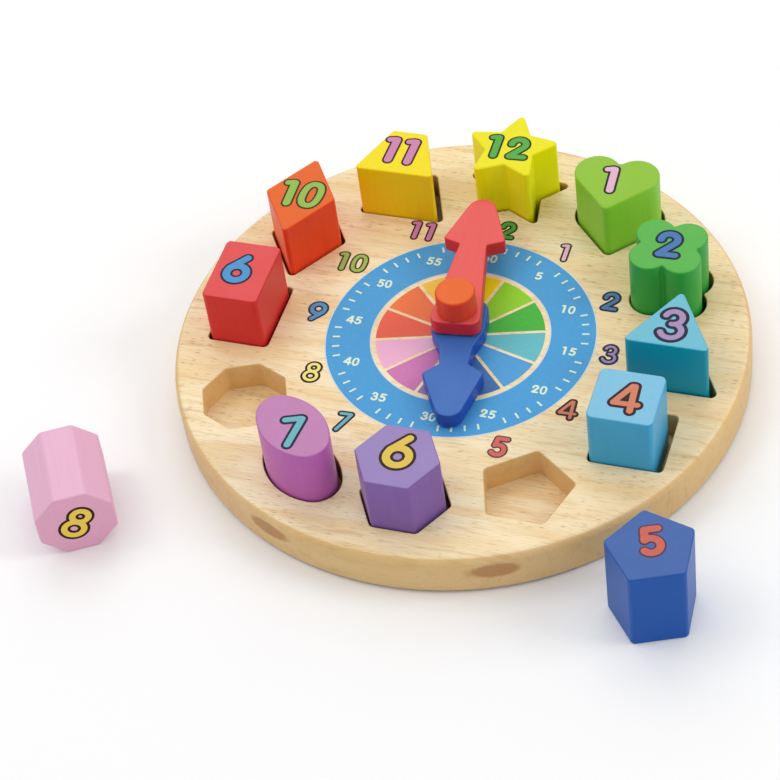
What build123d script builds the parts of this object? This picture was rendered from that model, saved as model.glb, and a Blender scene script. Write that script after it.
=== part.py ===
"""A wooden shape-sorting teaching clock: a round board with twelve shaped pockets, a block for each hour,
and two arrow hands that turn on a dowel under a knob. Millimetres. The origin is the centre of the board's
underside, +Z is up, +Y points to 12 o'clock and +X to 3 o'clock."""

from build123d import *
import os
from math import atan2, cos, degrees, hypot, pi, radians, sin, sqrt
from typing import Callable, NamedTuple

# Board
BOARD_DIAMETER = 290.0
BOARD_THICKNESS = 24.0
RIM_ROUNDING = 3.5
POCKET_DEPTH = 15.5
POCKET_CLEARANCE = 1.5
POCKET_CORNER = 2.6
MOUTH_BREAK = 0.4
POCKET_RING_RADIUS = 110.0
TWELVE_O_CLOCK = 90.0
HOUR_STEP = 30.0

# Blocks
BLOCK_HEIGHT = 47.0
BLOCK_CORNER = 2.0
BLOCK_EDGE_BREAK = 0.9
HEART_LOBE_RADIUS = 11.9
HEART_LOBE_OFFSET = 10.1
HEART_LOBE_HEIGHT = 7.0
HEART_TIP_DROP = 20.6
HEART_TIP_CORNER = 3.0
QUATREFOIL_LOBE_RADIUS = 9.9
QUATREFOIL_LOBE_OFFSET = 8.1
TRIANGLE_CIRCUMRADIUS = 25.1
SQUARE_SIDE = 32.2
PENTAGON_CIRCUMRADIUS = 22.1
HEXAGON_CIRCUMRADIUS = 21.2
OVAL_HALF_LENGTH = 22.7
OVAL_HALF_WIDTH = 15.0
OVAL_END_RADIUS = 11.3
OCTAGON_CIRCUMRADIUS = 20.7
RECTANGLE_WIDTH = 29.3
RECTANGLE_LENGTH = 40.2
RHOMBUS_WIDTH = 37.8
RHOMBUS_LENGTH = 56.4
TRAPEZOID_BASE = 43.0
TRAPEZOID_TOP = 18.6
TRAPEZOID_HEIGHT = 31.6
STAR_TIPS = 5
STAR_TIP_RADIUS = 26.4
STAR_NOTCH_RADIUS = 13.5
STAR_TIP_CORNER = 2.1
CONCAVE_CORNER = 1.0

# Allowances of the modelling, not of the object
CUTTER_OVERSHOOT = 1.0
ON_AN_AXIS = 0.1

# Hands, axle and knob
HAND_THICKNESS = 8.5
HAND_EDGE_BREAK = 0.9
MINUTE_HAND_CLOCK_ANGLE = -5.9
HOUR_HAND_CLOCK_ANGLE = 169.0
AXLE_DIAMETER = 8.0
AXLE_SEAT_DEPTH = 18.0
RUNNING_CLEARANCE = 0.08
GLUE_GAP = 0.03
WASHER_DIAMETER = 17.0
WASHER_THICKNESS = 1.0
KNOB_DIAMETER = 20.0
KNOB_HEIGHT = 12.0
KNOB_SEAT_DEPTH = 9.0
KNOB_TOP_ROUNDING = 1.3

# Heights that follow from the sizes above
POCKET_FLOOR = BOARD_THICKNESS - POCKET_DEPTH
AXLE_FOOT = BOARD_THICKNESS - AXLE_SEAT_DEPTH
HOUR_HAND_BASE = BOARD_THICKNESS + WASHER_THICKNESS
MINUTE_HAND_BASE = HOUR_HAND_BASE + HAND_THICKNESS + WASHER_THICKNESS
KNOB_BASE = MINUTE_HAND_BASE + HAND_THICKNESS + WASHER_THICKNESS


# ---------------------------------------------------------------- outlines


def grown(points, grow):
    """The corners of a counter-clockwise polygon after every side has moved outward by grow."""
    moved = []
    count = len(points)
    for i, (x, y) in enumerate(points):
        ax, ay = x - points[i - 1][0], y - points[i - 1][1]
        bx, by = points[(i + 1) % count][0] - x, points[(i + 1) % count][1] - y
        a, b = hypot(ax, ay), hypot(bx, by)
        nx, ny = ay / a + by / b, -ax / a - bx / b
        share = grow / (1 + (ay * by + ax * bx) / (a * b))
        moved.append((x + share * nx, y + share * ny))
    return moved


def is_convex(points, i):
    (px, py), (x, y), (qx, qy) = points[i - 1], points[i], points[(i + 1) % len(points)]
    return (x - px) * (qy - y) - (y - py) * (qx - x) > 0


def rounded_polygon(points, radii):
    """A polygon face with its own rounding at each corner."""
    face = make_face(Polyline(*points, close=True))
    for point, radius in zip(points, radii):
        corner = face.vertices().sort_by_distance((point[0], point[1], 0))[0]
        face = fillet(corner, radius)
    return face


def polygon_outline(points, grow, corner):
    points = grown(points, grow)
    radii = [corner if is_convex(points, i) else CONCAVE_CORNER for i in range(len(points))]
    return rounded_polygon(points, radii)


def on_circle(radius, angle):
    return (radius * cos(radians(angle)), radius * sin(radians(angle)))


def regular(sides, circumradius, first_angle):
    return [on_circle(circumradius, first_angle + 360 * i / sides) for i in range(sides)]


def heart(grow, corner):
    """Two round lobes, and two straight flanks that leave them at a tangent and meet in a tip."""
    lobe = HEART_LOBE_RADIUS + grow
    centre = Vector(HEART_LOBE_OFFSET, HEART_LOBE_HEIGHT)
    to_tip = hypot(HEART_LOBE_OFFSET, HEART_TIP_DROP + HEART_LOBE_HEIGHT)
    lean = atan2(HEART_LOBE_OFFSET, HEART_TIP_DROP + HEART_LOBE_HEIGHT)
    half_angle = lean + atan2(HEART_LOBE_RADIUS, sqrt(to_tip**2 - HEART_LOBE_RADIUS**2))
    tip = Vector(0, -HEART_TIP_DROP - grow / sin(half_angle))
    leave = centre + Vector(*on_circle(lobe, -degrees(half_angle)))
    notch = Vector(0, HEART_LOBE_HEIGHT + sqrt(lobe**2 - HEART_LOBE_OFFSET**2))
    outer = centre + Vector(*on_circle(lobe, 45))
    right = Line(tip, leave) + ThreePointArc(leave, outer, notch)
    face = make_face(right + mirror(right, about=Plane.YZ))
    face = fillet(face.vertices().sort_by(Axis.Y)[0], HEART_TIP_CORNER)
    return fillet(face.vertices().sort_by_distance(notch)[0], corner)


def quatrefoil(grow, corner):
    lobe = Circle(QUATREFOIL_LOBE_RADIUS + grow)
    offset = QUATREFOIL_LOBE_OFFSET
    face = Rectangle(2 * offset, 2 * offset)
    for x in (-offset, offset):
        for y in (-offset, offset):
            face += Pos(x, y) * lobe
    notches = [v for v in face.vertices() if min(abs(v.X), abs(v.Y)) < ON_AN_AXIS]
    return fillet(notches, CONCAVE_CORNER)


def triangle(grow, corner):
    return polygon_outline(regular(3, TRIANGLE_CIRCUMRADIUS, 90), grow, corner)


def square(grow, corner):
    return polygon_outline(regular(4, SQUARE_SIDE / sqrt(2), 45), grow, corner)


def pentagon(grow, corner):
    return polygon_outline(regular(5, PENTAGON_CIRCUMRADIUS, 90), grow, corner)


def hexagon(grow, corner):
    return polygon_outline(regular(6, HEXAGON_CIRCUMRADIUS, 0), grow, corner)


def oval(grow, corner):
    """Four arcs that meet at tangents: a tight one round each end and a flat one along each side."""
    reach = OVAL_HALF_LENGTH - OVAL_END_RADIUS
    side_squared = reach**2 + OVAL_HALF_WIDTH**2 - OVAL_END_RADIUS**2
    side_radius = side_squared / (2 * (OVAL_HALF_WIDTH - OVAL_END_RADIUS))
    side_centre = Vector(0, OVAL_HALF_WIDTH - side_radius)
    meeting = side_centre + Vector(reach, -side_centre.Y).normalized() * (side_radius + grow)
    x, y = meeting.X, meeting.Y
    end = ThreePointArc((x, -y), (OVAL_HALF_LENGTH + grow, 0), (x, y))
    side = ThreePointArc((x, y), (0, OVAL_HALF_WIDTH + grow), (-x, y))
    return make_face(end + side + mirror(end, about=Plane.YZ) + mirror(side, about=Plane.XZ))


def octagon(grow, corner):
    return polygon_outline(regular(8, OCTAGON_CIRCUMRADIUS, 0), grow, corner)


def rectangle(grow, corner):
    x, y = RECTANGLE_WIDTH / 2, RECTANGLE_LENGTH / 2
    return polygon_outline([(x, -y), (x, y), (-x, y), (-x, -y)], grow, corner)


def rhombus(grow, corner):
    x, y = RHOMBUS_WIDTH / 2, RHOMBUS_LENGTH / 2
    return polygon_outline([(x, 0), (0, y), (-x, 0), (0, -y)], grow, corner)


def trapezoid(grow, corner):
    base, top, y = TRAPEZOID_BASE / 2, TRAPEZOID_TOP / 2, TRAPEZOID_HEIGHT / 2
    return polygon_outline([(base, -y), (top, y), (-top, y), (-base, -y)], grow, corner)


def star(grow, corner):
    radii = (STAR_TIP_RADIUS, STAR_NOTCH_RADIUS)
    points = [on_circle(radii[i % 2], 90 + 180 * i / STAR_TIPS) for i in range(2 * STAR_TIPS)]
    return polygon_outline(points, grow, STAR_TIP_CORNER)


# ------------------------------------------------------- blocks and pockets


class HourShape(NamedTuple):
    """A block and its pocket. The nudge moves the pocket from its even place on the ring of hours,
    the slack is where the loose block lies in its pocket, the corner is the rounding of the block's
    upright edges, the clearance is the gap round a centred block, and the turn is the outline's own angle."""

    hour: int
    name: str
    outline: Callable
    nudge: tuple
    slack: tuple
    corner: float = BLOCK_CORNER
    clearance: float = POCKET_CLEARANCE
    turn: float = 0.0

    @property
    def node(self):
        return f"block_{self.hour}_{self.name}"

    @property
    def pocket_centre(self):
        x, y = on_circle(POCKET_RING_RADIUS, TWELVE_O_CLOCK - HOUR_STEP * self.hour)
        return (x + self.nudge[0], y + self.nudge[1])


HOUR_SHAPES = [
    HourShape(1, "heart", heart, (3.3, -3.5), (0.0, -0.9)),
    HourShape(2, "quatrefoil", quatrefoil, (1.0, -3.2), (-0.6, -0.8)),
    HourShape(3, "triangle", triangle, (0.6, -2.4), (-1.2, -0.9)),
    HourShape(4, "square", square, (5.1, 5.5), (-1.6, -2.0), corner=3.3, clearance=2.4),
    HourShape(5, "pentagon", pentagon, (3.1, 4.9), (0.0, 0.0), corner=2.4),
    HourShape(6, "hexagon", hexagon, (3.8, 1.7), (-0.3, -1.0)),
    HourShape(7, "oval", oval, (4.4, -5.0), (-0.4, -0.7), turn=143.0),
    HourShape(8, "octagon", octagon, (1.1, -6.1), (0.0, 0.0), corner=3.0),
    HourShape(9, "rectangle", rectangle, (-0.3, -5.6), (0.2, -1.2), corner=2.6),
    HourShape(10, "rhombus", rhombus, (-3.4, -1.4), (0.2, -1.1)),
    HourShape(11, "trapezoid", trapezoid, (-0.2, -0.7), (-0.8, -1.1)),
    HourShape(12, "star", star, (-0.2, -1.5), (-0.6, -0.9)),
]

# Two blocks are out of their pockets. The pentagon stands on the table, turned a little.
PENTAGON_PLACE = (128.7, -130.3)
PENTAGON_TURN = 22.1
# The octagon lies on one of its sides, with its printed end facing this way.
OCTAGON_PLACE = (-161.0, -132.5)
OCTAGON_FACING = -59.3


def make_block(shape):
    """One block standing on z = 0 in its outline's own frame."""
    face = Rot(0, 0, shape.turn) * shape.outline(0.0, shape.corner)
    block = extrude(face, BLOCK_HEIGHT)
    ends = block.edges().group_by(Axis.Z)
    return fillet(ends[0] + ends[-1], BLOCK_EDGE_BREAK)


def standing_on_table():
    return Pos(*PENTAGON_PLACE, 0) * Rot(0, 0, PENTAGON_TURN)


def lying_on_a_side():
    """The plane of the octagon's plain end: it leans by half a corner, so that a side is down."""
    half_corner = pi / 8
    inradius = OCTAGON_CIRCUMRADIUS * cos(half_corner)
    facing = Vector(*on_circle(1, OCTAGON_FACING), 0)
    right = Vector(0, 0, 1).cross(facing)
    leaning_right = right * cos(half_corner) - Vector(0, 0, 1) * sin(half_corner)
    middle = Vector(*OCTAGON_PLACE, inradius)
    plain_end = middle - facing * (BLOCK_HEIGHT / 2)
    return Plane(origin=plain_end, x_dir=leaning_right, z_dir=facing).location


def resting_place(shape):
    if shape.name == "pentagon":
        return standing_on_table()
    if shape.name == "octagon":
        return lying_on_a_side()
    x, y = shape.pocket_centre
    return Pos(x + shape.slack[0], y + shape.slack[1], POCKET_FLOOR)


def make_pocket(shape):
    """The space that a cutter takes out of the board: a little larger than the block all round."""
    face = Rot(0, 0, shape.turn) * shape.outline(shape.clearance, POCKET_CORNER)
    x, y = shape.pocket_centre
    return Pos(x, y, POCKET_FLOOR) * extrude(face, POCKET_DEPTH + CUTTER_OVERSHOOT)


def upright(radius, height):
    """A cylinder standing on z = 0."""
    return Cylinder(radius, height, align=(Align.CENTER, Align.CENTER, Align.MIN))


def make_board():
    """The round board with its rim rounded, its twelve pockets cut and the dowel's seat bored."""
    board = upright(BOARD_DIAMETER / 2, BOARD_THICKNESS)
    board = fillet(board.edges().filter_by(GeomType.CIRCLE), RIM_ROUNDING)
    for shape in HOUR_SHAPES:
        board -= make_pocket(shape)
    top = board.faces().filter_by(Plane.XY).sort_by(Axis.Z)[-1]
    mouths = [edge for wire in top.inner_wires() for edge in wire.edges()]
    board = chamfer(mouths, MOUTH_BREAK)
    seat = upright(AXLE_DIAMETER / 2 + GLUE_GAP, AXLE_SEAT_DEPTH + CUTTER_OVERSHOOT)
    return board - Pos(0, 0, AXLE_FOOT) * seat


# ---------------------------------------------------------------- the hands


def make_hand(right_side, base, clock_angle):
    """An arrow hand from the corners of its right half, each with its rounding: (x, y, radius)."""
    tip, *flank = right_side
    corners = [tip] + [(-x, y, r) for x, y, r in flank] + flank[::-1]
    face = rounded_polygon([(x, y) for x, y, r in corners], [r for x, y, r in corners])
    hand = extrude(face, HAND_THICKNESS)
    ends = hand.edges().group_by(Axis.Z)
    hand = fillet(ends[0] + ends[-1], HAND_EDGE_BREAK)
    hand -= upright(AXLE_DIAMETER / 2 + RUNNING_CLEARANCE, HAND_THICKNESS)
    return Pos(0, 0, base) * Rot(0, 0, -clock_angle) * hand


# The tip comes first, as the sharp point of the arrow head before it is rounded, then barb, neck and hub.
MINUTE_HAND = [
    (0.0, 94.8, 7.5),
    (16.2, 49.8, 1.8),
    (7.1, 46.4, 1.2),
    (13.2, -10.0, 5.0),
]
HOUR_HAND = [
    (0.0, 77.3, 7.2),
    (15.4, 34.2, 1.8),
    (7.2, 28.1, 1.2),
    (8.5, 16.5, 6.0),
    (13.4, 5.5, 5.0),
    (14.7, -16.5, 8.0),
]


def make_knob():
    knob = upright(KNOB_DIAMETER / 2, KNOB_HEIGHT)
    knob = fillet(knob.edges().group_by(Axis.Z)[-1], KNOB_TOP_ROUNDING)
    knob -= upright(AXLE_DIAMETER / 2 + GLUE_GAP, KNOB_SEAT_DEPTH)
    return Pos(0, 0, KNOB_BASE) * knob


def make_axle():
    return Pos(0, 0, AXLE_FOOT) * upright(AXLE_DIAMETER / 2, KNOB_BASE + KNOB_SEAT_DEPTH - AXLE_FOOT)


def make_washer(base):
    bore = upright(AXLE_DIAMETER / 2 + RUNNING_CLEARANCE, WASHER_THICKNESS)
    return Pos(0, 0, base) * (upright(WASHER_DIAMETER / 2, WASHER_THICKNESS) - bore)


# ------------------------------------------------------------- the assembly


def make_parts():
    parts = {
        "board": make_board(),
        "axle_dowel": make_axle(),
        "washer_lower": make_washer(BOARD_THICKNESS),
        "hour_hand": make_hand(HOUR_HAND, HOUR_HAND_BASE, HOUR_HAND_CLOCK_ANGLE),
        "washer_middle": make_washer(HOUR_HAND_BASE + HAND_THICKNESS),
        "minute_hand": make_hand(MINUTE_HAND, MINUTE_HAND_BASE, MINUTE_HAND_CLOCK_ANGLE),
        "washer_upper": make_washer(MINUTE_HAND_BASE + HAND_THICKNESS),
        "hub_knob": make_knob(),
    }
    for shape in HOUR_SHAPES:
        parts[shape.node] = resting_place(shape) * make_block(shape)
    return parts


os.makedirs("parts", exist_ok=True)
for node, solid in make_parts().items():
    export_step(solid, f"parts/{node}.step")
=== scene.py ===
"""The looks of a wooden shape-sorting teaching clock: its wood and paint, the printed dial, the numerals on
the board and on the blocks, a pale table, soft light and the camera. Lengths are millimetres unless a name
says otherwise; MM turns them into the frame's metres."""

from math import cos, pi, radians, sin
from typing import NamedTuple

import bmesh
import bpy
import numpy as np
from mathutils import Matrix, Vector
from mathutils.geometry import delaunay_2d_cdt


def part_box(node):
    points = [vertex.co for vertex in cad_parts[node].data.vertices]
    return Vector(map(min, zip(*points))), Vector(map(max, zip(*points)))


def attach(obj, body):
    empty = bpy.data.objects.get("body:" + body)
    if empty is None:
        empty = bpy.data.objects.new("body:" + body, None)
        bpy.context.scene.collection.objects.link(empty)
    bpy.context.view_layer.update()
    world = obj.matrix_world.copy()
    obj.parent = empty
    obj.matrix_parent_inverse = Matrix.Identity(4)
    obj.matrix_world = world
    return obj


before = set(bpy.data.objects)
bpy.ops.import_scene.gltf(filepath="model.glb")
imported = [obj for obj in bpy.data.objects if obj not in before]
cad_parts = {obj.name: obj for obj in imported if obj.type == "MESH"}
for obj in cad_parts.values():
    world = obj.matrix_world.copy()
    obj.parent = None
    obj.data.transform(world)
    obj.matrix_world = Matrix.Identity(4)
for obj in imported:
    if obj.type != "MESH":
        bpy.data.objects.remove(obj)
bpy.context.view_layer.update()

MM = 0.001
HOURS = range(1, 13)
HOUR_STEP = 30
MINUTES = 60
MINUTE_STEP = 6
NUMBERED_MINUTES = 5
UP = Vector((0, 0, 1))

# The block that stands for each hour
BLOCKS = {
    1: "block_1_heart",
    2: "block_2_quatrefoil",
    3: "block_3_triangle",
    4: "block_4_square",
    5: "block_5_pentagon",
    6: "block_6_hexagon",
    7: "block_7_oval",
    8: "block_8_octagon",
    9: "block_9_rectangle",
    10: "block_10_rhombus",
    11: "block_11_trapezoid",
    12: "block_12_star",
}
BLOCK_HEIGHT = 47.0
# The pentagon stands on the table, turned by this angle. The octagon lies on one of its sides with its
# printed end facing this way, so its print leans by half of the turn between two corners.
PENTAGON_TURN = 22.1
OCTAGON_FACING = -59.3
OCTAGON_LEAN = 22.5

# The body that the board and its print belong to
BOARD_BODY = "clock_board"

# The hands' clock angles, which their grain follows
MINUTE_HAND_ANGLE = -5.9
HOUR_HAND_ANGLE = 169.0


class Paint(NamedTuple):
    """A paint, sRGB out of 255, as it looks on a piece's two ends and on its sides: lit and shaded copies
    of one paint, with a painted sheen on the ends and painted shade on the sides.
    """

    ends: tuple
    sides: tuple


# Colours as they are on the object, sRGB out of 255; the gap colour below is painted shade, and the paints'
# two colours hold a painted sheen and painted shade
WOOD_PALE = (252, 236, 196)
WOOD_TAN = (244, 217, 165)
WOOD_WARM = (252, 210, 150)
WOOD_DARK = (206, 162, 104)
WOOD_EDGE = (224, 182, 114)
WOOD_PORE = (140, 94, 52)
WOOD_STREAK = (192, 142, 88)
# Painted shade for the deep narrow gaps between a pocket and its block
WOOD_PAINTED_GAP_SHADE = (84, 54, 30)
DOWEL_COLOUR = (222, 188, 140)
WASHER_COLOUR = (236, 234, 226)
# The table's colour in the light that it throws back, and as the camera sees it
TABLE_COLOUR = (232, 232, 232)
TABLE_COLOUR_SEEN = (254, 254, 254)
PAINTS = {
    "paint_lime": Paint((142, 192, 49), (137, 208, 53)),
    "paint_green": Paint((88, 179, 73), (50, 168, 66)),
    "paint_teal": Paint((110, 188, 208), (0, 153, 179)),
    "paint_sky": Paint((126, 192, 222), (65, 172, 218)),
    "paint_blue": Paint((67, 102, 170), (19, 87, 177)),
    "paint_purple": Paint((153, 131, 187), (133, 97, 173)),
    "paint_magenta": Paint((193, 129, 178), (190, 101, 182)),
    "paint_pink": Paint((238, 176, 204), (235, 182, 209)),
    "paint_coral": Paint((224, 77, 76), (219, 45, 45)),
    "paint_orange": Paint((230, 98, 22), (239, 71, 26)),
    "paint_amber": Paint((245, 221, 0), (247, 212, 0)),
    "paint_yellow": Paint((237, 228, 0), (247, 240, 0)),
    "paint_hour_hand": Paint((62, 109, 185), (32, 76, 178)),
    "paint_minute_hand": Paint((231, 90, 86), (214, 46, 55)),
    "paint_knob": Paint((232, 102, 30), (232, 66, 30)),
}
DIAL_BLUE = (75, 160, 217)
DIAL_BORDER = (206, 222, 232)
DIAL_MARKS = (226, 243, 214)
WEDGES = {
    1: ("paint_lime", (146, 213, 38)),
    2: ("paint_green", (71, 182, 60)),
    3: ("paint_teal", (102, 191, 200)),
    4: ("paint_sky", (80, 161, 218)),
    5: ("paint_blue", (69, 117, 178)),
    6: ("paint_purple", (157, 120, 184)),
    7: ("paint_magenta", (209, 123, 181)),
    8: ("paint_pink", (240, 179, 211)),
    9: ("paint_coral", (236, 100, 76)),
    10: ("paint_orange", (242, 121, 70)),
    11: ("paint_amber", (247, 205, 75)),
    12: ("paint_yellow", (247, 220, 12)),
}


class NumeralInk(NamedTuple):
    """An hour's numeral: its fill on the block and on the board, and the line round both."""

    slot: str
    block_fill: tuple
    board_fill: tuple
    line: tuple
    line_width: float


NUMERAL_INKS = {
    1: NumeralInk("paint_pink", (226, 178, 203), (236, 184, 206), (40, 26, 30), 1.15),
    2: NumeralInk("paint_blue", (72, 120, 176), (78, 122, 168), (18, 30, 56), 1.25),
    3: NumeralInk("paint_purple", (165, 142, 183), (168, 140, 186), (34, 30, 58), 1.5),
    4: NumeralInk("paint_coral", (208, 128, 99), (206, 122, 92), (52, 24, 28), 1.4),
    5: NumeralInk("paint_coral", (204, 102, 88), (216, 104, 92), (92, 56, 74), 0.85),
    6: NumeralInk("paint_yellow", (223, 192, 82), (226, 196, 80), (46, 28, 26), 1.3),
    7: NumeralInk("paint_teal", (110, 179, 190), (108, 180, 188), (26, 34, 64), 1.25),
    8: NumeralInk("paint_yellow", (250, 214, 84), (238, 230, 126), (50, 12, 6), 1.35),
    9: NumeralInk("paint_sky", (78, 147, 200), (84, 148, 196), (26, 24, 64), 1.1),
    10: NumeralInk("paint_lime", (147, 186, 78), (158, 190, 88), (62, 50, 14), 1.0),
    11: NumeralInk("paint_magenta", (205, 132, 172), (204, 126, 172), (62, 20, 34), 1.0),
    12: NumeralInk("paint_green", (86, 170, 70), (84, 170, 72), (22, 52, 12), 1.1),
}


# ------------------------------------------------------------------- materials


def linear(colour):
    """An sRGB colour out of 255 as the linear RGBA that the shaders take."""
    shares = [c / 255 for c in colour]
    return [c / 12.92 if c <= 0.04045 else ((c + 0.055) / 1.055) ** 2.4 for c in shares] + [1]


def darker(colour, share):
    return [c * share for c in colour]


def paler(colour, share):
    """The colour with its distance from white cut to a share."""
    return [255 - (255 - c) * share for c in colour]


class Shader:
    """A material whose nodes are added one call at a time. Its lengths are in millimetres."""

    def __init__(self, name, **settings):
        self.material = bpy.data.materials.new(name)
        self.material.use_nodes = True
        self.tree = self.material.node_tree
        self.surface = self.tree.nodes["Principled BSDF"]
        self.set(self.surface, settings)

    def set(self, node, values):
        for name, value in values.items():
            socket = node.inputs[name if isinstance(name, int) else name.replace("_", " ")]
            if isinstance(value, bpy.types.NodeSocket):
                self.tree.links.new(value, socket)
            else:
                socket.default_value = value

    def add(self, kind, inputs=None, output=0, **settings):
        node = self.tree.nodes.new(kind)
        for name, value in settings.items():
            setattr(node, name, value)
        self.set(node, inputs or {})
        return node.outputs[output]

    def math(self, operation, *values):
        return self.add("ShaderNodeMath", dict(enumerate(values)), operation=operation)

    def between(self, value, low, high, most=1):
        """0 up to low, most from high on, and a smooth rise between."""
        inputs = {"Value": value, "From Min": low, "From Max": high, "To Max": most}
        return self.add("ShaderNodeMapRange", inputs, interpolation_type="SMOOTHSTEP")

    def without(self, share):
        return self.math("SUBTRACT", 1, share)

    def mix(self, share, below, above):
        """Colour sockets or sRGB colours, mixed by share."""
        colours = [c if isinstance(c, bpy.types.NodeSocket) else linear(c) for c in (below, above)]
        inputs = {0: share, 6: colours[0], 7: colours[1]}
        return self.add("ShaderNodeMix", inputs, output=2, data_type="RGBA")

    def facing(self, axis, low, high):
        """1 where the surface faces along the axis, either way, and 0 where it is turned away from it."""
        normal = self.add("ShaderNodeTexCoord", output=1)
        inputs = {0: normal, 1: axis}
        share = self.add("ShaderNodeVectorMath", inputs, output=1, operation="DOT_PRODUCT")
        return self.between(self.math("ABSOLUTE", share), low, high)

    def place(self, along=Vector((1, 0, 0))):
        """Points of the object in millimetres, turned so that the grain's direction becomes X."""
        point = self.add("ShaderNodeTexCoord", output=3)
        turn = along.rotation_difference(Vector((1, 0, 0))).to_euler()
        inputs = {"Vector": point, "Rotation": turn, "Scale": (1 / MM,) * 3}
        return self.add("ShaderNodeMapping", inputs)

    def stretch(self, point, scale):
        return self.add("ShaderNodeMapping", {"Vector": point, "Scale": scale})

    def noise(self, point, scale, **inputs):
        """Noise from 0 to 1 with so many waves to a millimetre along X, Y and Z."""
        values = {"Vector": self.stretch(point, scale), "Scale": 1}
        return self.add("ShaderNodeTexNoise", values | inputs)

    def colour(self, tone):
        self.set(self.surface, {"Base Color": tone})

    def bump(self, height, strength, depth):
        inputs = {"Height": height, "Strength": strength, "Distance": depth * MM}
        self.set(self.surface, {"Normal": self.add("ShaderNodeBump", inputs)})


def board_wood():
    """Pale rubberwood under satin lacquer: strips glued edge to edge, with their grain along X."""
    shader = Shader("natural_wood", Roughness=0.38, Specular_IOR_Level=0.35)
    point = shader.place()
    parts = shader.tree.nodes.new("ShaderNodeSeparateXYZ")
    shader.set(parts, {0: point})
    x, y, z = parts.outputs
    level = shader.facing(UP, 0.75, 0.95)
    lot, point = wood_strips(shader, point, y)

    figure = shader.noise(point, (0.010, 0.07, 0.05), Detail=3, Distortion=0.6)
    band = shader.noise(point, (0.03, 0.30, 0.12), Detail=4, Distortion=0.4)
    fibre = shader.noise(point, (0.09, 1.7, 0.5), Detail=4, Roughness=0.65)
    pores = shader.math("MULTIPLY", wood_pores(shader, point), level)
    fibre_share = shader.math("ADD", shader.math("MULTIPLY", level, 0.35), 0.35)
    fibre_cover = shader.math("MULTIPLY", shader.between(fibre, 0.50, 0.74), fibre_share)
    streak = shader.math("MULTIPLY", dark_streak(shader, x, y, z, fibre), shader.between(fibre, 0.0, 0.45))

    tone = shader.mix(shader.between(figure, 0.36, 0.66), WOOD_PALE, WOOD_TAN)
    tone = shader.mix(shader.math("MULTIPLY", lot, 0.08), tone, WOOD_TAN)
    tone = shader.mix(shader.between(x, 0, 110, 0.30), tone, WOOD_WARM)
    tone = shader.mix(shader.math("MULTIPLY", shader.without(level), 0.75), tone, WOOD_EDGE)
    tone = shader.mix(shader.between(band, 0.50, 0.80, 0.55), tone, WOOD_DARK)
    tone = shader.mix(fibre_cover, tone, WOOD_DARK)
    tone = shader.mix(shader.math("MULTIPLY", pores, 0.65), tone, WOOD_PORE)
    tone = shader.mix(streak, tone, WOOD_STREAK)
    # Painted shade: the wood goes dark where ambient occlusion finds it closed in, deep in the gaps round
    # the blocks
    shader.colour(shader.mix(painted_gap_shade(shader), tone, WOOD_PAINTED_GAP_SHADE))
    height = shader.math("SUBTRACT", shader.math("MULTIPLY", fibre, 0.3), pores)
    shader.bump(height, 0.15, 0.08)
    return shader.material


def wood_strips(shader, point, y):
    """A number from 0 to 1 for the strip at y, and the point moved along its strip by a length of its own,
    so that the figure breaks off at each glue line."""
    strip_width, glue_line, longest_move = 47, -19, 900
    strip = shader.math("FLOOR", shader.math("DIVIDE", shader.math("SUBTRACT", y, glue_line), strip_width))
    lot = shader.add("ShaderNodeTexWhiteNoise", {"W": strip}, noise_dimensions="1D")
    move = shader.add("ShaderNodeCombineXYZ", {0: shader.math("MULTIPLY", lot, longest_move)})
    return lot, shader.add("ShaderNodeVectorMath", {0: point, 1: move}, operation="ADD")


def wood_pores(shader, point):
    """Short dark dashes along the grain, in drifts: some cells of a long-celled Voronoi hold one each."""
    cells = {"Vector": shader.stretch(point, (0.20, 1.5, 1.5)), "Scale": 1}
    distance = shader.add("ShaderNodeTexVoronoi", cells)
    draw = shader.add("ShaderNodeTexVoronoi", cells, output=1)
    share = shader.tree.nodes.new("ShaderNodeSeparateColor")
    shader.set(share, {0: draw})
    crowd = shader.noise(point, (0.012, 0.055, 0.055), Detail=2)
    chosen = shader.between(shader.math("ADD", share.outputs[0], crowd), 1.16, 1.50)
    dash = shader.without(shader.between(distance, 0.10, 0.42))
    return shader.math("MULTIPLY", dash, chosen)


def dark_streak(shader, x, y, z, fibre):
    """A round streak of darker wood, almost along X, which shows where the rim cuts through it."""
    streak_y, streak_z, slope = -133.2, 14.6, 0.014
    radius_inside, radius_outside, raggedness = 4.8, 6.8, 2.4
    drift = shader.math("ADD", y, shader.math("MULTIPLY", x, slope))
    across = shader.math("POWER", shader.math("SUBTRACT", drift, streak_y), 2)
    upward = shader.math("POWER", shader.math("SUBTRACT", z, streak_z), 2)
    distance = shader.math("SQRT", shader.math("ADD", across, upward))
    ragged = shader.math("ADD", distance, shader.math("MULTIPLY", fibre, raggedness))
    return shader.without(shader.between(ragged, radius_inside, radius_outside))


def painted_gap_shade(shader):
    """Painted shade: 1 deep in the narrow gaps between a pocket and its block, where ambient occlusion
    finds the wood closed in.
    """
    reach = 7 * MM
    shut, unshut = 0.04, 0.34
    open_share = shader.add("ShaderNodeAmbientOcclusion", {"Distance": reach}, output=1, samples=8)
    return shader.without(shader.between(open_share, shut, unshut))


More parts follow.
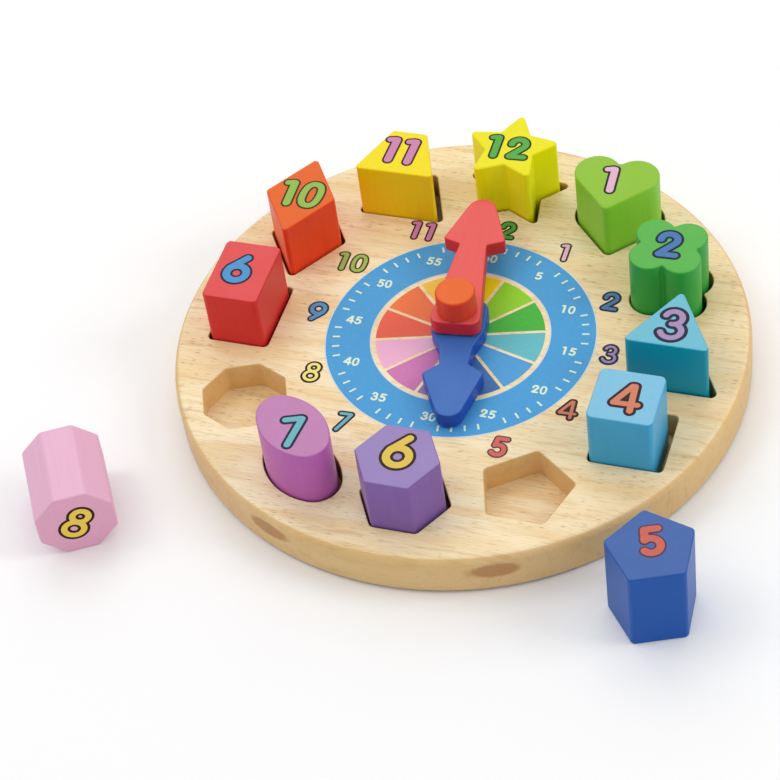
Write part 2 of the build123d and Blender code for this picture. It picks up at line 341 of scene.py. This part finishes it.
def paint(name, colours, grain=UP, axis=UP):
    """Satin paint on wood: an even coat in which the grain below shows as faint lines. The faces that look
    along the axis take the colour of the ends, with its painted sheen, and the others that of the sides,
    with its painted shade."""
    shader = Shader(name, Roughness=0.34, Specular_IOR_Level=0.24)
    point = shader.place(grain)
    painted_sheen_end_share = shader.facing(axis, 0.55, 0.95)
    fibre = shader.noise(point, (0.03, 0.7, 0.7), Detail=3, Roughness=0.6)
    mottle = shader.noise(point, (0.05, 0.08, 0.08), Detail=2)
    tones = []
    for colour in (colours.sides, colours.ends):
        tone = shader.mix(shader.between(fibre, 0.42, 0.78, 0.5), colour, darker(colour, 0.95))
        tones.append(shader.mix(shader.between(mottle, 0.45, 0.75, 0.5), tone, paler(colour, 0.97)))
    # Painted sheen on the faces along the axis and painted shade on the rest, by which way each face looks
    shader.colour(shader.mix(painted_sheen_end_share, *tones))
    shader.bump(fibre, 0.06, 0.06)
    return shader.material


def ink(name, colour):
    """Printing ink: a thin, slightly uneven film."""
    shader = Shader(name, Roughness=0.45, Specular_IOR_Level=0.2)
    cover = shader.noise(shader.place(), (0.5, 0.9, 0.9), Detail=3)
    shader.colour(shader.mix(shader.between(cover, 0.48, 0.80, 0.5), colour, paler(colour, 0.88)))
    shader.bump(cover, 0.08, 0.02)
    return shader.material


def dowel_wood():
    shader = Shader("plain_dowel", Roughness=0.6)
    fibre = shader.noise(shader.place(UP), (0.05, 1.6, 1.6), Detail=3)
    shader.colour(shader.mix(fibre, DOWEL_COLOUR, WOOD_DARK))
    shader.bump(fibre, 0.2, 0.1)
    return shader.material


def washer_nylon():
    shader = Shader("washer_plastic", Roughness=0.5)
    speckle = shader.noise(shader.place(), (0.8, 0.8, 0.8), Detail=3)
    shader.colour(shader.mix(speckle, WASHER_COLOUR, darker(WASHER_COLOUR, 0.94)))
    shader.bump(speckle, 0.1, 0.05)
    return shader.material


def clockwise(angle):
    """The direction on the dial at a clock angle, in degrees from 12 o'clock."""
    return Vector((sin(radians(angle)), cos(radians(angle)), 0))


def octagon_facing():
    """The direction that the lying octagon's printed end looks in."""
    return Vector((cos(radians(OCTAGON_FACING)), sin(radians(OCTAGON_FACING)), 0))


def dress_nodes():
    """Every node of the model gets its own finish in the material slot that it came with."""
    grain = {
        "hour_hand": clockwise(HOUR_HAND_ANGLE),
        "minute_hand": clockwise(MINUTE_HAND_ANGLE),
        BLOCKS[8]: octagon_facing(),
    }
    finishes = {
        "natural_wood": board_wood(),
        "plain_dowel": dowel_wood(),
        "washer_plastic": washer_nylon(),
    }
    for node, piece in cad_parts.items():
        slot = piece.data.materials[0].name
        if slot not in finishes:
            axis = octagon_facing() if node == BLOCKS[8] else UP
            finishes[slot] = paint(slot + "_finish", PAINTS[slot], grain.get(node, UP), axis)
        piece.material_slots[0].material = finishes[slot]


# ---------------------------------------------------------------- printed plates


class Face(NamedTuple):
    """A flat place to print on: its middle, and the directions across and up the print."""

    middle: Vector
    across: Vector
    up: Vector

    def point(self, x, y, height):
        out = self.across.cross(self.up)
        return self.middle + MM * (x * self.across + y * self.up + height * out)


def covered(shapes):
    """The triangles that cover the union of some convex counter-clockwise shapes."""
    closeness = 1e-4
    corners, edges = [], []
    for shape in shapes:
        first, count = len(corners), len(shape)
        corners += [Vector(p) for p in shape]
        edges += [(first + i, first + (i + 1) % count) for i in range(count)]
    points, _, triangles, *_ = delaunay_2d_cdt(corners, edges, [], 1, closeness)
    points, triangles = np.array([tuple(p) for p in points]), np.array(triangles)
    middles = points[triangles].mean(axis=1)
    kept = np.zeros(len(triangles), bool)
    for shape in shapes:
        inside = np.ones(len(triangles), bool)
        for (ax, ay), (bx, by) in zip(shape, shape[1:] + shape[:1]):
            inside &= (bx - ax) * (middles[:, 1] - ay) > (by - ay) * (middles[:, 0] - ax)
        kept |= inside
    return points.tolist(), triangles[kept].tolist()


def plate(name, shapes, face, low, high):
    """A thin closed plate over the shapes, from one height above the face to another."""
    flatness = radians(0.2)
    points, triangles = covered(shapes)
    mesh = bmesh.new()
    bottom = [mesh.verts.new(face.point(x, y, low)) for x, y in points]
    top = [mesh.verts.new(face.point(x, y, high)) for x, y in points]
    sides = set()
    for triangle in triangles:
        mesh.faces.new([top[i] for i in triangle])
        mesh.faces.new([bottom[i] for i in reversed(triangle)])
        for a, b in zip(triangle, triangle[1:] + triangle[:1]):
            if (b, a) in sides:
                sides.remove((b, a))
            else:
                sides.add((a, b))
    for a, b in sorted(sides):
        mesh.faces.new([bottom[a], bottom[b], top[b], top[a]])
    loose = [v for v in mesh.verts if not v.link_faces]
    bmesh.ops.delete(mesh, geom=loose, context="VERTS")
    bmesh.ops.dissolve_limit(mesh, angle_limit=flatness, verts=mesh.verts, edges=mesh.edges)
    data = bpy.data.meshes.new(name)
    mesh.to_mesh(data)
    mesh.free()
    piece = bpy.data.objects.new(name, data)
    bpy.context.scene.collection.objects.link(piece)
    return piece


def printed(name, shapes, face, heights, material, body):
    """A plate of ink that rides on a body."""
    piece = plate(name, shapes, face, *heights)
    piece.data.materials.append(material)
    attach(piece, body)


# The bottom and the top of each film of ink, over the face that it is printed on: every film lies a few
# hundredths of a millimetre proud of the one that it covers.
BORDER_COAT = (-0.02, 0.05)
RING_COAT = (0.0, 0.08)
FIRST_COAT = (-0.02, 0.08)
SECOND_COAT = (0.05, 0.14)


# -------------------------------------------------------------------- numerals


def bar(start, end):
    return [start, end]


def bow(centre, radii, start, end):
    """Points along a stretch of an ellipse, from one angle to another."""
    step = 9
    steps = max(3, round(abs(end - start) / step))
    angles = [radians(start + (end - start) * i / steps) for i in range(steps + 1)]
    return [(centre[0] + radii[0] * cos(a), centre[1] + radii[1] * sin(a)) for a in angles]


def ring(radii, fullness):
    """A closed oval about the origin, squarer as fullness grows."""
    steps = 40
    points = []
    for i in range(steps + 1):
        c, s = cos(2 * pi * i / steps), sin(2 * pi * i / steps)
        x = radii[0] * abs(c) ** (2 / fullness) * (1 if c > 0 else -1)
        y = radii[1] * abs(s) ** (2 / fullness) * (1 if s > 0 else -1)
        points.append((x, y))
    return points


SIX = [
    (bow((0, -3.1), (5.0, 4.9), 0, 360), 2.05),
    (bar((2.3, 7.9), (-4.3, 0.0)), 2.05),
    (bar((-4.3, 0.0), (-5.0, -3.1)), 2.05),
]

# Each numeral is strokes with a half width, about 20 tall and centred on its own middle.
NUMERALS = {
    "0": [(ring((4.4, 8.0), 2.4), 1.75)],
    "1": [
        (bar((-3.0, 7.3), (-0.5, 7.9)), 1.75),
        (bar((-0.5, 7.9), (0.7, 7.8)), 1.85),
        (bar((0.7, 7.6), (0.7, -7.9)), 2.05),
    ],
    "2": [
        (bow((-0.3, 3.8), (4.1, 4.0), 184, -38), 2.05),
        (bar((2.9, 1.3), (-4.0, -6.7)), 2.05),
        (bar((-4.0, -6.9), (4.3, -6.9)), 1.95),
    ],
    "3": [
        (bow((-0.3, 4.1), (3.7, 3.8), 165, -72), 1.85),
        (bar((0.8, 0.4), (-0.6, 0.4)), 1.75),
        (bow((-0.1, -3.5), (4.5, 4.2), 78, -160), 1.85),
    ],
    "4": [
        (bar((1.1, 7.4), (-5.6, -3.9)), 1.9),
        (bar((-5.6, -4.1), (5.7, -3.8)), 1.85),
        (bar((2.2, 7.4), (3.0, -8.0)), 1.95),
    ],
    "5": [
        (bar((-2.2, 7.5), (4.5, 7.4)), 1.85),
        (bar((-2.3, 7.4), (-3.0, 0.8)), 1.9),
        (bow((-0.3, -3.1), (4.7, 4.7), 126, -143), 1.9),
    ],
    "6": SIX,
    "7": [
        (bar((-3.8, 7.5), (3.8, 7.7)), 1.75),
        (bar((4.1, 7.4), (-2.8, -8.0)), 1.85),
    ],
    "8": [
        (bow((0.1, 4.5), (3.8, 3.6), 0, 360), 1.85),
        (bow((0, -3.8), (4.7, 4.3), 0, 360), 1.85),
    ],
    "9": [([(-x, -y) for x, y in path], half_width) for path, half_width in SIX],
}
# How far a numeral's line reaches out past its strokes, and how much wider the board's lines are
OUTLINE_REACH = 1.0
BOARD_LINE_EXTRA = 0.3


class Digit(NamedTuple):
    """A numeral's character, the middle of its place, its scale and how far it leans to the left."""

    character: str
    x: float
    y: float
    scale: float
    turn: float = 0.0


def counter_clockwise(shape):
    area = sum(a[0] * b[1] - b[0] * a[1] for a, b in zip(shape, shape[1:] + shape[:1]))
    return shape if area > 0 else shape[::-1]


def stroke_shapes(path, half_width):
    """Convex shapes that cover a stroke: two triangles between each two points, and a disc at each end of
    an open one."""
    disc_corners = 24
    closed = (Vector(path[0]) - Vector(path[-1])).length < 1e-6
    points = [Vector(p) for p in (path[:-1] if closed else path)]
    count = len(points)
    edges = []
    for i, point in enumerate(points):
        before = points[i - 1] if closed else points[max(i - 1, 0)]
        after = points[(i + 1) % count] if closed else points[min(i + 1, count - 1)]
        side = (after - before).orthogonal().normalized() * half_width
        edges.append((point - side, point + side))
    steps = range(count if closed else count - 1)
    shapes = []
    for i in steps:
        (a, b), (d, c) = edges[i], edges[(i + 1) % count]
        for triangle in ((a, b, c), (a, c, d)):
            shapes.append(counter_clockwise([tuple(p) for p in triangle]))
    ends = [] if closed else [points[0], points[-1]]
    turns = [turn_matrix(360 / disc_corners * i) for i in range(disc_corners)]
    for end in ends:
        shapes.append([tuple(end + Vector((half_width, 0)) @ turn) for turn in turns])
    return [counter_clockwise(shape) for shape in shapes]


def turn_matrix(angle):
    return Matrix.Rotation(radians(angle), 2)


def digit_shapes(digit, extra=0.0):
    """A digit's strokes at its place, each grown by extra on every side."""
    shapes = []
    turn = turn_matrix(digit.turn)
    for path, half_width in NUMERALS[digit.character]:
        for shape in stroke_shapes(path, half_width + extra):
            corners = [turn @ Vector(p) * digit.scale + Vector((digit.x, digit.y)) for p in shape]
            shapes.append([tuple(p) for p in corners])
    return shapes


def print_numeral(name, digits, face, body, line, line_width, fill):
    """A numeral: a dark line round its digits and, over that, their coloured fill."""
    outer = [shape for digit in digits for shape in digit_shapes(digit, OUTLINE_REACH)]
    inner = [shape for digit in digits for shape in digit_shapes(digit, OUTLINE_REACH - line_width)]
    printed(name + "_line", outer, face, FIRST_COAT, ink(name + "_line_ink", line), body)
    printed(name + "_fill", inner, face, SECOND_COAT, ink(name + "_fill_ink", fill), body)


# Digits on the blocks, from the middle of the block's printed end
BLOCK_DIGITS = {
    1: [Digit("1", -1.9, 2.0, 1.0, 3)],
    2: [Digit("2", 0.1, 0.4, 1.0, 2)],
    3: [Digit("3", 0.3, -3.9, 1.13)],
    4: [Digit("4", 0.6, -0.8, 1.02)],
    5: [Digit("5", 1.8, 2.9, 0.90)],
    6: [Digit("6", 0.4, 3.0, 1.09)],
    7: [Digit("7", 1.7, -3.7, 1.02, 18)],
    8: [Digit("8", 0.0, 0.3, 1.04, -8)],
    9: [Digit("6", -2.0, 1.1, 1.02)],
    10: [Digit("1", -6.0, 0.4, 0.98, 1), Digit("0", 5.8, 0.7, 1.0, -3)],
    11: [Digit("1", -5.9, 0.9, 1.0, -2), Digit("1", 4.6, 0.9, 1.0, -2)],
    12: [Digit("1", -8.0, -3.1, 0.90, 1), Digit("2", 4.4, -3.0, 0.90, 3)],
}
# Digits on the board, from the hour's even place on their ring
HOUR_NUMERAL_RADIUS = 77.8
BOARD_DIGITS = {
    1: [Digit("1", -2.0, 0.2, 0.65)],
    2: [Digit("2", 1.1, -1.5, 0.70)],
    3: [Digit("3", -1.3, 1.8, 0.68)],
    4: [Digit("4", -1.9, 1.3, 0.68)],
    5: [Digit("5", -0.1, -0.4, 0.68)],
    6: [Digit("6", 0.0, 0.0, 0.68)],
    7: [Digit("7", -1.5, -0.3, 0.68)],
    8: [Digit("8", 1.35, -0.1, 0.68)],
    9: [Digit("9", 1.15, 1.9, 0.68)],
    10: [Digit("1", -7.4, 0.9, 0.68), Digit("0", 1.3, 0.8, 0.68)],
    11: [Digit("1", -5.3, 2.0, 0.68), Digit("1", 2.6, 2.0, 0.68)],
    12: [Digit("1", -5.2, -0.2, 0.68), Digit("2", 3.5, -0.2, 0.68)],
}


def block_face(hour):
    """The printed end of a block: its top, or the end that faces out where the block lies down."""
    low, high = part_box(BLOCKS[hour])
    middle = (low + high) / 2
    if hour == 8:
        facing = octagon_facing()
        right = UP.cross(facing)
        lean = radians(OCTAGON_LEAN)
        across = right * cos(lean) - UP * sin(lean)
        return Face(middle + facing * (BLOCK_HEIGHT / 2) * MM, across, facing.cross(across))
    middle.z = high.z
    turn = Matrix.Rotation(radians(PENTAGON_TURN if hour == 5 else 0), 3, "Z")
    return Face(middle, turn @ Vector((1, 0, 0)), turn @ Vector((0, 1, 0)))


def board_face(middle=Vector((0, 0, 0))):
    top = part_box("board")[1].z
    return Face(MM * middle + UP * top, Vector((1, 0, 0)), Vector((0, 1, 0)))


def print_hours():
    for hour, (slot, block_fill, board_fill, line, width) in NUMERAL_INKS.items():
        name, face, body = f"block_numeral_{hour}", block_face(hour), f"block_{hour}"
        print_numeral(name, BLOCK_DIGITS[hour], face, body, line, width, block_fill)
        name, face = f"board_numeral_{hour}", board_face(clockwise(HOUR_STEP * hour) * HOUR_NUMERAL_RADIUS)
        board_width = width + BOARD_LINE_EXTRA
        print_numeral(name, BOARD_DIGITS[hour], face, BOARD_BODY, line, board_width, board_fill)


# -------------------------------------------------------------------- the dial

RING_INNER_RADIUS = 45.7
RING_OUTER_RADIUS = 68.0
RING_BORDER = 0.6
TICK_RADIUS = 62.9
TICK_LENGTH = 3.7
TICK_WIDTH = 1.0
MINUTE_NUMERAL_RADIUS = 56.0
MINUTE_NUMERAL_SCALE = 0.286
MINUTE_DIGIT_SPACING = 4.1
WEDGE_INNER_RADIUS = 9.0
WEDGE_OUTER_RADIUS = 42.7
WEDGE_GAP = 1.7


def annulus(inner, outer):
    """A ring as a loop of four-sided shapes, each a degree and a half wide."""
    steps = 240
    shapes = []
    for i in range(steps):
        a, b = (radians(360 * k / steps) for k in (i, i + 1))
        corners = [(inner, a), (outer, a), (outer, b), (inner, b)]
        shapes.append([(r * cos(t), r * sin(t)) for r, t in corners])
    return shapes


def minute_ticks():
    """A mark for each minute, but for those that a number stands for."""
    shapes = []
    for minute in range(MINUTES):
        if minute % NUMBERED_MINUTES == 0:
            continue
        out = clockwise(MINUTE_STEP * minute).xy
        side = out.orthogonal() * TICK_WIDTH / 2
        near = out * (TICK_RADIUS - TICK_LENGTH / 2)
        far = out * (TICK_RADIUS + TICK_LENGTH / 2)
        corners = [near - side, far - side, far + side, near + side]
        shapes.append(counter_clockwise([tuple(p) for p in corners]))
    return shapes


def minute_numerals():
    """5 to 60, upright, each centred on its hour's direction."""
    shapes = []
    for hour in HOURS:
        text = str(NUMBERED_MINUTES * hour)
        middle = clockwise(HOUR_STEP * hour) * MINUTE_NUMERAL_RADIUS
        first = -MINUTE_DIGIT_SPACING * (len(text) - 1) / 2
        for i, character in enumerate(text):
            x = middle.x + first + i * MINUTE_DIGIT_SPACING
            shapes += digit_shapes(Digit(character, x, middle.y, MINUTE_NUMERAL_SCALE))
    return shapes


def wedge_shapes(hour):
    """An hour's wedge, whose straight sides keep half the gap from the edges of its sector."""
    middle = HOUR_STEP * hour
    steps = 12

    def rim(radius):
        margin = HOUR_STEP / 2 - (WEDGE_GAP / 2 / radius) * 180 / pi
        angles = [middle - margin + 2 * margin * i / steps for i in range(steps + 1)]
        return [tuple(clockwise(angle).xy * radius) for angle in angles]

    inner, outer = rim(WEDGE_INNER_RADIUS), rim(WEDGE_OUTER_RADIUS)
    quads = [(inner[i], outer[i], outer[i + 1], inner[i + 1]) for i in range(steps)]
    return [counter_clockwise(list(quad)) for quad in quads]


def print_dial():
    face = board_face()
    border = annulus(RING_INNER_RADIUS - RING_BORDER, RING_OUTER_RADIUS + RING_BORDER)
    blue = annulus(RING_INNER_RADIUS, RING_OUTER_RADIUS)
    pale = ink("dial_pale_ink", DIAL_MARKS)
    border_film, blue_film = ink("dial_border_ink", DIAL_BORDER), ink("dial_blue_ink", DIAL_BLUE)
    printed("dial_border", border, face, BORDER_COAT, border_film, BOARD_BODY)
    printed("dial_ring", blue, face, RING_COAT, blue_film, BOARD_BODY)
    printed("dial_minute_ticks", minute_ticks(), face, SECOND_COAT, pale, BOARD_BODY)
    printed("dial_minute_numerals", minute_numerals(), face, SECOND_COAT, pale, BOARD_BODY)
    for hour, (slot, colour) in WEDGES.items():
        film = ink(f"dial_wedge_{hour}_ink", colour)
        printed(f"dial_wedge_{hour}", wedge_shapes(hour), face, FIRST_COAT, film, BOARD_BODY)


# ------------------------------------------------------- table, light and camera

# Angles in degrees about X, Y and Z. The lens and the sensor's width are in millimetres.
CAMERA_PLACE = (312.71, -812.40, 915.81)
CAMERA_ANGLES = (42.941, 6.076, 17.133)
CAMERA_LENS = 114.62
CAMERA_SENSOR = 36.0
TABLE_SIDE = 4000
SKY_STRENGTH = 0.66


def make_table():
    half = TABLE_SIDE / 2
    data = bpy.data.meshes.new("table")
    corners = [(-half, -half), (half, -half), (half, half), (-half, half)]
    data.from_pydata([(x * MM, y * MM, 0) for x, y in corners], [], [(0, 1, 2, 3)])
    table = bpy.data.objects.new("table", data)
    bpy.context.scene.collection.objects.link(table)
    shader = Shader("table_paper", Roughness=0.9)
    seen = shader.add("ShaderNodeLightPath", output=0)
    colour = shader.mix(seen, TABLE_COLOUR, TABLE_COLOUR_SEEN)
    shader.set(shader.surface, {"Base Color": colour, "Specular IOR Level": 0.1})
    data.materials.append(shader.material)


def make_sky():
    """An even sky that lights the clock, and that the camera sees as plain white."""
    world = bpy.data.worlds.new("studio_sky")
    bpy.context.scene.world = world
    world.use_nodes = True
    nodes, links = world.node_tree.nodes, world.node_tree.links
    sky = nodes["Background"]
    sky.inputs["Color"].default_value = (1, 1, 1, 1)
    sky.inputs["Strength"].default_value = SKY_STRENGTH
    white = nodes.new("ShaderNodeBackground")
    white.inputs["Color"].default_value = (1, 1, 1, 1)
    path = nodes.new("ShaderNodeLightPath")
    mix = nodes.new("ShaderNodeMixShader")
    links.new(path.outputs["Is Camera Ray"], mix.inputs[0])
    links.new(sky.outputs[0], mix.inputs[1])
    links.new(white.outputs[0], mix.inputs[2])
    links.new(mix.outputs[0], nodes["World Output"].inputs["Surface"])


class Softbox(NamedTuple):
    """A square lamp aimed at the clock's foot, and the brightness that it gives a level white surface."""

    name: str
    azimuth: float
    elevation: float
    distance: float
    side: float
    share: float


SOFTBOXES = [
    Softbox("right_softbox", 10, 38, 2200, 900, 0.13),
    Softbox("left_softbox", 190, 54, 2200, 900, 0.12),
    Softbox("back_softbox", 115, 52, 2200, 1700, 0.16),
]


def make_softbox(box):
    """The lamp's power is worked out from the light it gives to a level surface."""
    lamp = bpy.data.lights.new(box.name, "AREA")
    lamp.shape = "SQUARE"
    lamp.size = box.side * MM
    height = sin(radians(box.elevation))
    lamp.energy = box.share * (pi * box.distance * MM) ** 2 / height
    piece = bpy.data.objects.new(box.name, lamp)
    flat = cos(radians(box.elevation))
    out = Vector((flat * cos(radians(box.azimuth)), flat * sin(radians(box.azimuth)), height))
    piece.location = out * box.distance * MM
    piece.rotation_euler = out.to_track_quat("Z", "Y").to_euler()
    bpy.context.scene.collection.objects.link(piece)


def make_camera():
    data = bpy.data.cameras.new("camera")
    data.sensor_width = CAMERA_SENSOR
    data.lens = CAMERA_LENS
    camera = bpy.data.objects.new("camera", data)
    camera.location = [v * MM for v in CAMERA_PLACE]
    camera.rotation_euler = [radians(a) for a in CAMERA_ANGLES]
    bpy.context.scene.collection.objects.link(camera)
    bpy.context.scene.camera = camera


make_camera()
make_table()
make_sky()
for box in SOFTBOXES:
    make_softbox(box)
bpy.context.scene.view_settings.view_transform = "Standard"
dress_nodes()
print_dial()
print_hours()
